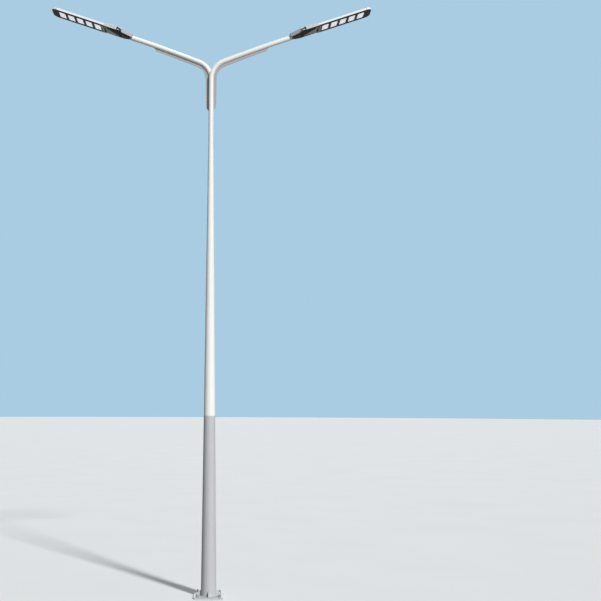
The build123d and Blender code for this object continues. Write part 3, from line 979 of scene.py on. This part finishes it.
def makeHeatSinks():
    s, f = sinkSizes, frameSizes
    long, wide = windowHalves()
    first = f["first"]
    plate = addSlab("plate", first - long - s["lap"], first + long + s["lap"], wide + s["lap"],
                    s["low"], s["plateTop"], s["plateCorner"], 4)
    softEdges(plate, 0.8)
    reach, half = long - s["finMargin"] - s["finThick"] / 2, s["finThick"] / 2
    start = first - reach
    fin = addSlab("fin", start - half, start + half, wide - s["finEnd"], s["plateTop"] - 1,
                  s["finTop"])
    edit(fin)
    pickFaces(lambda c, n: near(c.z, s["finTop"]))
    sizePicked(s["finTaper"], s["finEndTaper"], about=(start, 0, s["finTop"]))
    pickEdges(lambda a, b: both(a, b, 2, s["finTop"]))
    bevelPicked(s["finRound"], 2)
    done()
    repeat(fin, s["finCount"], (2 * reach / (s["finCount"] - 1), 0, 0))
    sink = paint(joined("sinkLocal", [plate, fin]), "anodised")
    for number in range(f["count"]):
        twin = copyOf(sink, f"sinkLocal{number}")
        twin.data.transform(Matrix.Translation((number * f["pitch"] * mm, 0, 0)))
        onBothHeads(
            twin, f"heat_sink_{number + 1}", "root", "heat_sink", f"light_module_{number + 1}"
        )
    bpy.data.objects.remove(sink)


lensSizes = {
    "length": 96, "half": 109, "boardLow": -1.2, "boardTop": 3, "corner": 13, "rim": 2.4,
    "sunk": 1.2, "domeRadius": 10.8, "domeDrop": 4.0, "rows": 4, "columns": 9, "rowPitch": 22.4,
    "columnPitch": 23.2,
}


def makeLenses():
    s, f = lensSizes, frameSizes
    first, reach = f["first"], s["length"] / 2
    board = addSlab("board", first - reach, first + reach, s["half"], s["boardLow"],
                    s["boardTop"], s["corner"], 1)
    edit(board)
    pickBottom(s["boardLow"])
    bpy.ops.mesh.inset(thickness=s["rim"] * mm)
    extrudePicked(z=s["sunk"])
    done()
    softEdges(board, 0.5)
    paint(board, "ledBoard")
    clearSelection()
    startU = first - s["rowPitch"] * (s["rows"] - 1) / 2
    startV = -s["columnPitch"] * (s["columns"] - 1) / 2
    level = s["boardLow"] + s["sunk"]
    bpy.ops.mesh.primitive_uv_sphere_add(
        segments=14, ring_count=8, radius=s["domeRadius"] * mm,
        location=(startU * mm, startV * mm, level * mm),
        scale=(1, 1, s["domeDrop"] / s["domeRadius"]),
    )
    dome = takeNew("dome")
    edit(dome)
    sliceOff((0, 0, level + 0.1), (0, 0, 1))
    done()
    repeat(dome, s["rows"], (s["rowPitch"], 0, 0))
    repeat(dome, s["columns"], (0, s["columnPitch"], 0))
    paint(dome, "lens")
    module = joined("lensLocal", [board, dome])
    repeat(module, f["count"], (f["pitch"], 0, 0))
    onBothHeads(module, "lens_modules", "root", "lens", "lens_plates")


traySizes = {
    "start": 415.5, "end": 1188, "half": 150.5, "low": -8, "corner": 73, "gap": 1,
    "windowChamfer": 13, "edge": 1.25, "screwV": 106, "rimHigh": 3.6, "rimWidth": 5,
    "coverStart": 418, "coverEnd": 452, "coverHalf": 142, "coverThick": 1.5, "coverEdge": 0.6,
}


def makeTray():
    s, f = traySizes, frameSizes
    start, end, half, low = s["start"], s["end"], s["half"], s["low"]
    tray = addSlab("trayLocal", start, end, half, low, s["rimHigh"])
    inside = addSlab("inside", start - beyond, end - s["rimWidth"], half - s["rimWidth"], 0,
                     s["rimHigh"] + beyond)
    for piece, corner in ((tray, s["corner"]), (inside, s["corner"] - s["rimWidth"])):
        roundEdges(piece, lambda a, b: upright(a, b) and a.x > f["end"], corner, 14)
    tools = [inside]
    reach, side = lensSizes["length"] / 2 + s["gap"], lensSizes["half"] + s["gap"]
    for centre in moduleCentres():
        tools.append(addSlab("window", centre - reach, centre + reach, side, low - beyond,
                             s["rimHigh"] + beyond, s["windowChamfer"], 1))
    cut(tray, *tools)
    softEdges(tray, s["edge"], 3, 50)
    onBothHeads(paint(tray, "black"), "lens_bezel", "root", "black_paint", "lens_tray")
    places = [(centre + f["pitch"] / 2, v) for centre in moduleCentres()[:-1]
              for v in (-s["screwV"], 0, s["screwV"])]
    screws = addScrewHeads("bezel", places, low, -1)
    onBothHeads(screws, "bezel_screws", "root", "black_paint")
    cover = addSlab("coverLocal", s["coverStart"], s["coverEnd"], s["coverHalf"],
                    low - s["coverThick"], low)
    paint(softEdges(cover, s["coverEdge"]), "lidGrey")
    onBothHeads(cover, "bezel_end_cover", "root", "black_paint")


capSizes = {
    "start": 1128, "end": headSizes["end"], "half": headSizes["half"], "low": frameSizes["foot"],
    "top": headSizes["railTop"], "blank": 40, "corner": 75, "round": 6, "wall": 4,
    "seamDepth": 3, "seamLap": 3, "seamLow": 0.5, "seamRound": 3,
}


def makeCap():
    s = capSizes
    # the blank is longer than the cap, since the corners' bevel needs the room
    cap = addSlab("capLocal", s["start"] - s["blank"], s["end"], s["half"], s["low"], s["top"])
    edit(cap)
    pickEdges(lambda a, b: upright(a, b) and near(a.x, s["end"]))
    bevelPicked(s["corner"], 16)
    sliceOff((s["start"], 0, 0), (-1, 0, 0))
    pickEdges(lambda a, b: both(a, b, 2, s["top"]) and not both(a, b, 0, s["start"]))
    bevelPicked(s["round"], 5)
    pickBottom(s["low"])
    bpy.ops.mesh.delete(type="ONLY_FACE")
    done()
    shell(cap, s["wall"])
    softEdges(cap, 0.8, 2, 50)
    onBothHeads(paint(cap, "headWhite"), "tip_cap", "root", "head_paint", "front_cap")
    high, out = s["top"] - s["seamDepth"], s["half"] - s["seamDepth"]
    seam = addSlab("seamLocal", frameSizes["end"] - s["seamLap"], s["start"] + s["seamLap"], out,
                   s["seamLow"], high)
    roundEdges(seam, lambda a, b: both(a, b, 2, high) and near(a.y, b.y), s["seamRound"], 4)
    onBothHeads(paint(seam, "rubber"), "tip_gasket", "root", "black_paint")


lidSizes = {
    "start": 160, "end": 393, "half": 142.5, "plate": 4, "rim": 4, "depth": 14,
    "bulgeStart": 168, "bulgeEnd": 385, "bulgeHalf": 122, "sideSlant": 22, "frontSlant": 26,
    "backSlant": 18, "keelLow": -28, "keelLong": 24, "keelWide": 36, "keelBack": 68,
    "rearRound": 12, "edge": 2.2, "lugStart": 161, "lugEnd": 223, "lugLow": -21, "lugHigh": -13,
    "lugSeat": 130.5, "lugEdge": 1.5, "rollRadius": 5, "webLap": 6, "webTop": -1.2,
}
ribSizes = {
    "start": 196, "end": 340, "spacing": 66, "half": 1.5, "low": -11, "top": -4,
    "topLong": 0.94, "topWide": 0.6, "edge": 0.5,
}


def pushBulge(level, inset, depth):
    # draws the picked face of the lid in to the bulge's outline, then down to its bottom
    s = lidSizes
    start, end, half = s["bulgeStart"] + inset, s["bulgeEnd"] - inset, s["bulgeHalf"] - inset
    middle, length = (start + end) / 2, end - start
    bpy.ops.mesh.inset(thickness=s["rim"] * mm)
    long, wide = s["end"] - s["start"] - 2 * s["rim"], 2 * (s["half"] - s["rim"])
    sizePicked(length / long, 2 * half / wide, about=(middle, 0, level))
    extrudePicked(z=-depth)
    bottom = length - s["frontSlant"] - s["backSlant"]
    sizePicked(bottom / length, 1 - s["sideSlant"] / half, about=(middle, 0, level - depth))
    movePicked((s["backSlant"] - s["frontSlant"]) / 2)


def makeLid():
    s = lidSizes
    lid = addSlab("lidLocal", s["start"], s["end"], s["half"], -s["plate"], 0)
    edit(lid)
    pickFaces(lambda c, n: near(c.z, 0))
    pushBulge(0, s["plate"], s["depth"] - s["plate"])
    pickBottom(-s["plate"])
    pushBulge(-s["plate"], 0, s["depth"] - s["plate"])
    back, front = s["bulgeStart"] + s["backSlant"], s["bulgeEnd"] - s["frontSlant"]
    extrudePicked(z=s["keelLow"] + s["depth"])
    sizePicked(s["keelLong"] / (front - back), s["keelWide"] / 2 / (s["bulgeHalf"] - s["sideSlant"]),
               about=((front + back) / 2, 0, s["keelLow"]))
    movePicked(-s["keelBack"])
    pickEdges(lambda a, b: upright(a, b) and near(a.x, s["start"]))
    bevelPicked(s["rearRound"], 6)
    done()
    paint(lid, "black", "lidGrey")  # painted light and shade by slant: the keel's long slope and the front strip become grey as if lit, the flanks black as if shaded
    # each face is painted by which way it faces: downward and forward faces grey as painted light, side slopes
    # black as painted shade
    for face in lid.data.polygons:
        centre, n = face.center / mm, face.normal
        paintedLitSlope = centre.z < -s["plate"] - 1 and n.z < -0.1 and n.x > -0.01 and abs(n.y) < 0.08
        paintedLitFront = centre.x > s["bulgeEnd"] - 1 and n.z < 0.1
        face.material_index = 1 if paintedLitSlope or paintedLitFront else 0
    softEdges(lid, s["edge"], 3, 18)
    greyPieces, blackPieces = [], []
    u, w = headSizes["hingeU"], headSizes["hingeW"]
    for middle in (-hingeSizes["offset"], hingeSizes["offset"]):
        low, high = middle - hingeSizes["barrelHalf"], middle + hingeSizes["barrelHalf"]
        barrel = addRod("barrel", (u, low, w), (u, high, w), hingeSizes["barrelRadius"], 32)
        web = addBlock("web", (s["end"] - s["webLap"], low, -s["plate"]), (u, high, s["webTop"]))
        greyPieces += [softEdges(barrel, 0.8), softEdges(web, 0.8)]
    middleV, pivotW = latchSizes["middleV"], latchSizes["pivotW"]
    for outer, top in ((-s["half"], -1), (middleV, s["lugHigh"])):
        block = addBlock("lug", (s["lugStart"], outer, s["lugLow"]),
                         (s["lugEnd"], -s["lugSeat"], top))
        blackPieces.append(softEdges(block, s["lugEdge"], 3))
    roll = addRod("roll", (s["lugStart"], middleV, pivotW), (s["lugEnd"], middleV, pivotW),
                  s["rollRadius"], 24)
    blackPieces.append(softEdges(roll, 0.6))
    for pieces, finish in ((greyPieces, "lidGrey"), (blackPieces, "black")):
        for piece in pieces:
            paint(piece, finish)
    lid = joined("lidLocal", [lid, *greyPieces, *blackPieces])
    onBothHeads(lid, "lid_cover", "lid", "lid_paint", "driver_lid")

    s, ribs = ribSizes, []
    for v in (-s["spacing"], 0, s["spacing"]):
        rib = addBlock("rib", (s["start"], v - s["half"], s["low"]),
                       (s["end"], v + s["half"], s["top"]))
        edit(rib)
        pickFaces(lambda c, n: near(c.z, s["top"]))
        sizePicked(s["topLong"], s["topWide"], about=((s["start"] + s["end"]) / 2, v, s["top"]))
        done()
        ribs.append(softEdges(rib, s["edge"]))
    onBothHeads(paint(joined("ribsLocal", ribs), "black"), "lid_ribs", "lid", "lid_paint")


latchSizes = {
    "start": 154, "end": 230, "middleV": -161, "half": 3, "top": 39, "rearTop": 21, "slant": 52,
    "low": -6, "corner": 3, "edge": 1.2, "pivotW": -17, "pinRadius": 2.5, "pinProud": 0.6,
    "ear": 6, "earHalf": 5, "earRound": 2.8, "windowStart": 178, "windowEnd": 219,
    "windowLow": 2, "windowHigh": 25, "windowRear": 15, "windowSlant": 28, "windowRound": 4,
    "lipReach": 5, "lipHeight": 4, "grips": 5, "gripPitch": 5, "gripWidth": 2.4,
    "gripProud": 1.2,
}


def slopeRear(piece, start, rear, fall, run, radius, segments):
    # slices the top off in a slope that rises from the rear, then rounds the corners
    edit(piece)
    sliceOff((start, 0, rear), (-fall, 0, run))
    pickEdges(crosswise)
    bevelPicked(radius, segments)
    done()


def makeLatch():
    s = latchSizes
    inner, outer = s["middleV"] + s["half"], s["middleV"] - s["half"]
    plate = addBlock("latchLocal", (s["start"], outer, s["low"]), (s["end"], inner, s["top"]))
    window = addBlock("window", (s["windowStart"], outer - beyond, s["windowLow"]),
                      (s["windowEnd"], inner + beyond, s["windowHigh"]))
    slopeRear(plate, s["start"], s["rearTop"], s["top"] - s["rearTop"], s["slant"], s["corner"], 4)
    slopeRear(window, s["windowStart"], s["windowRear"], s["windowHigh"] - s["windowRear"],
              s["windowSlant"], s["windowRound"], 5)
    cut(plate, window)
    softEdges(plate, s["edge"], 3, 40)
    lipStart, earLow = s["start"] + s["slant"], s["pivotW"] - s["earHalf"]
    lip = addBlock("lip", (lipStart, outer - s["lipReach"], s["top"] - s["lipHeight"]),
                   (s["end"], inner, s["top"]))
    pieces = [plate, softEdges(lip, 1.5, 3)]
    for start in (s["start"], s["end"] - s["ear"]):
        ear = addBlock("ear", (start, outer, earLow), (start + s["ear"], inner, s["low"] + 2))
        roundEdges(ear, lambda a, b: both(a, b, 2, earLow) and near(a.y, b.y), s["earRound"], 4)
        pieces.append(softEdges(ear, 0.8))
    for number in range(s["grips"]):  # grip ribs on the bar over the window
        start = lipStart - 2 + number * s["gripPitch"]
        grip = addBlock("grip", (start, outer - s["gripProud"], s["windowHigh"] + 2),
                        (start + s["gripWidth"], outer + 1, s["top"] - 5))
        pieces.append(softEdges(grip, 0.8))
    latch = paint(joined("latchLocal", pieces), "nylon")
    onBothHeads(latch, "latch_clip", "latch", "latch_plastic", "latch")
    pivot, proud = (s["middleV"], s["pivotW"]), s["pinProud"]
    pin = addRod("pinLocal", (s["start"] - proud, *pivot), (s["end"] + proud, *pivot),
                 s["pinRadius"], 20)
    onBothHeads(paint(softEdges(pin, 0.5), "stainless"), "latch_pin", "latch", "latch_plastic")


driverSizes = {
    "start": 180, "end": 370, "low": 14, "top": 42, "nearV": -78, "farV": -2, "corner": 3,
    "slots": 7, "slotPitch": 9.5, "slotWidth": 3, "slotDepth": 1.6, "endCap": 14,
    "capProud": 0.6, "capEdge": 1.6,
}


def makeLedDriver():
    s = driverSizes
    start, end, low, nearV, farV = s["start"], s["end"], s["low"], s["nearV"], s["farV"]
    case = addBlock("driverLocal", (start, nearV, low), (end, farV, s["top"]))
    roundEdges(case, lambda a, b: near(a.z, b.z) and near(a.y, b.y), s["corner"], 4)
    tools = []
    for number in range(s["slots"]):
        v = nearV + (number + 1) * s["slotPitch"]
        tools.append(addBlock("slot", (start - beyond, v, low - beyond),
                              (end + beyond, v + s["slotWidth"], low + s["slotDepth"])))
    cut(case, *tools)
    softEdges(case, 0.4, 2, 40)
    proud, caps = s["capProud"], []
    for rear in (start - proud, end - s["endCap"] + proud):
        cap = addBlock("cap", (rear, nearV - proud, low - proud),
                       (rear + s["endCap"], farV + proud, s["top"] - 0.2))
        caps.append(softEdges(cap, s["capEdge"], 3))
    onBothHeads(paint(joined("capsLocal", caps), "nylon"), "driver_end_caps", "root", "driver_case")
    onBothHeads(paint(case, "extruded"), "driver_case", "root", "driver_case", "led_driver")


makeFlange()
makeAnchorStud()
makeMast()
makeDoor()
makeArms()
print("mast and arms modelled")
makeNeck()
makeHousing()
makeHinges()
makeGasket()
makeFrame()
makeHeatSinks()
makeLenses()
makeTray()
makeCap()
makeLid()
makeLatch()
makeLedDriver()
print("lamp heads modelled")


slotPaints = {
    "upper_paint": "mastWhite", "lower_paint": "mastGrey", "strip_paint": "stripGrey",
    "head_paint": "headWhite", "neck_paint": "neckGrey", "black_paint": "black",
    "lid_paint": "lidGrey", "heat_sink": "boxGrey", "lens": "headWhite", "driver_case": "boxGrey",
    "latch_plastic": "black",
}
for row in frame["record"]["subparts"]:
    paint(frame["nodes"][row["node"]], slotPaints[row["material_slot"]])
print("CAD nodes painted")
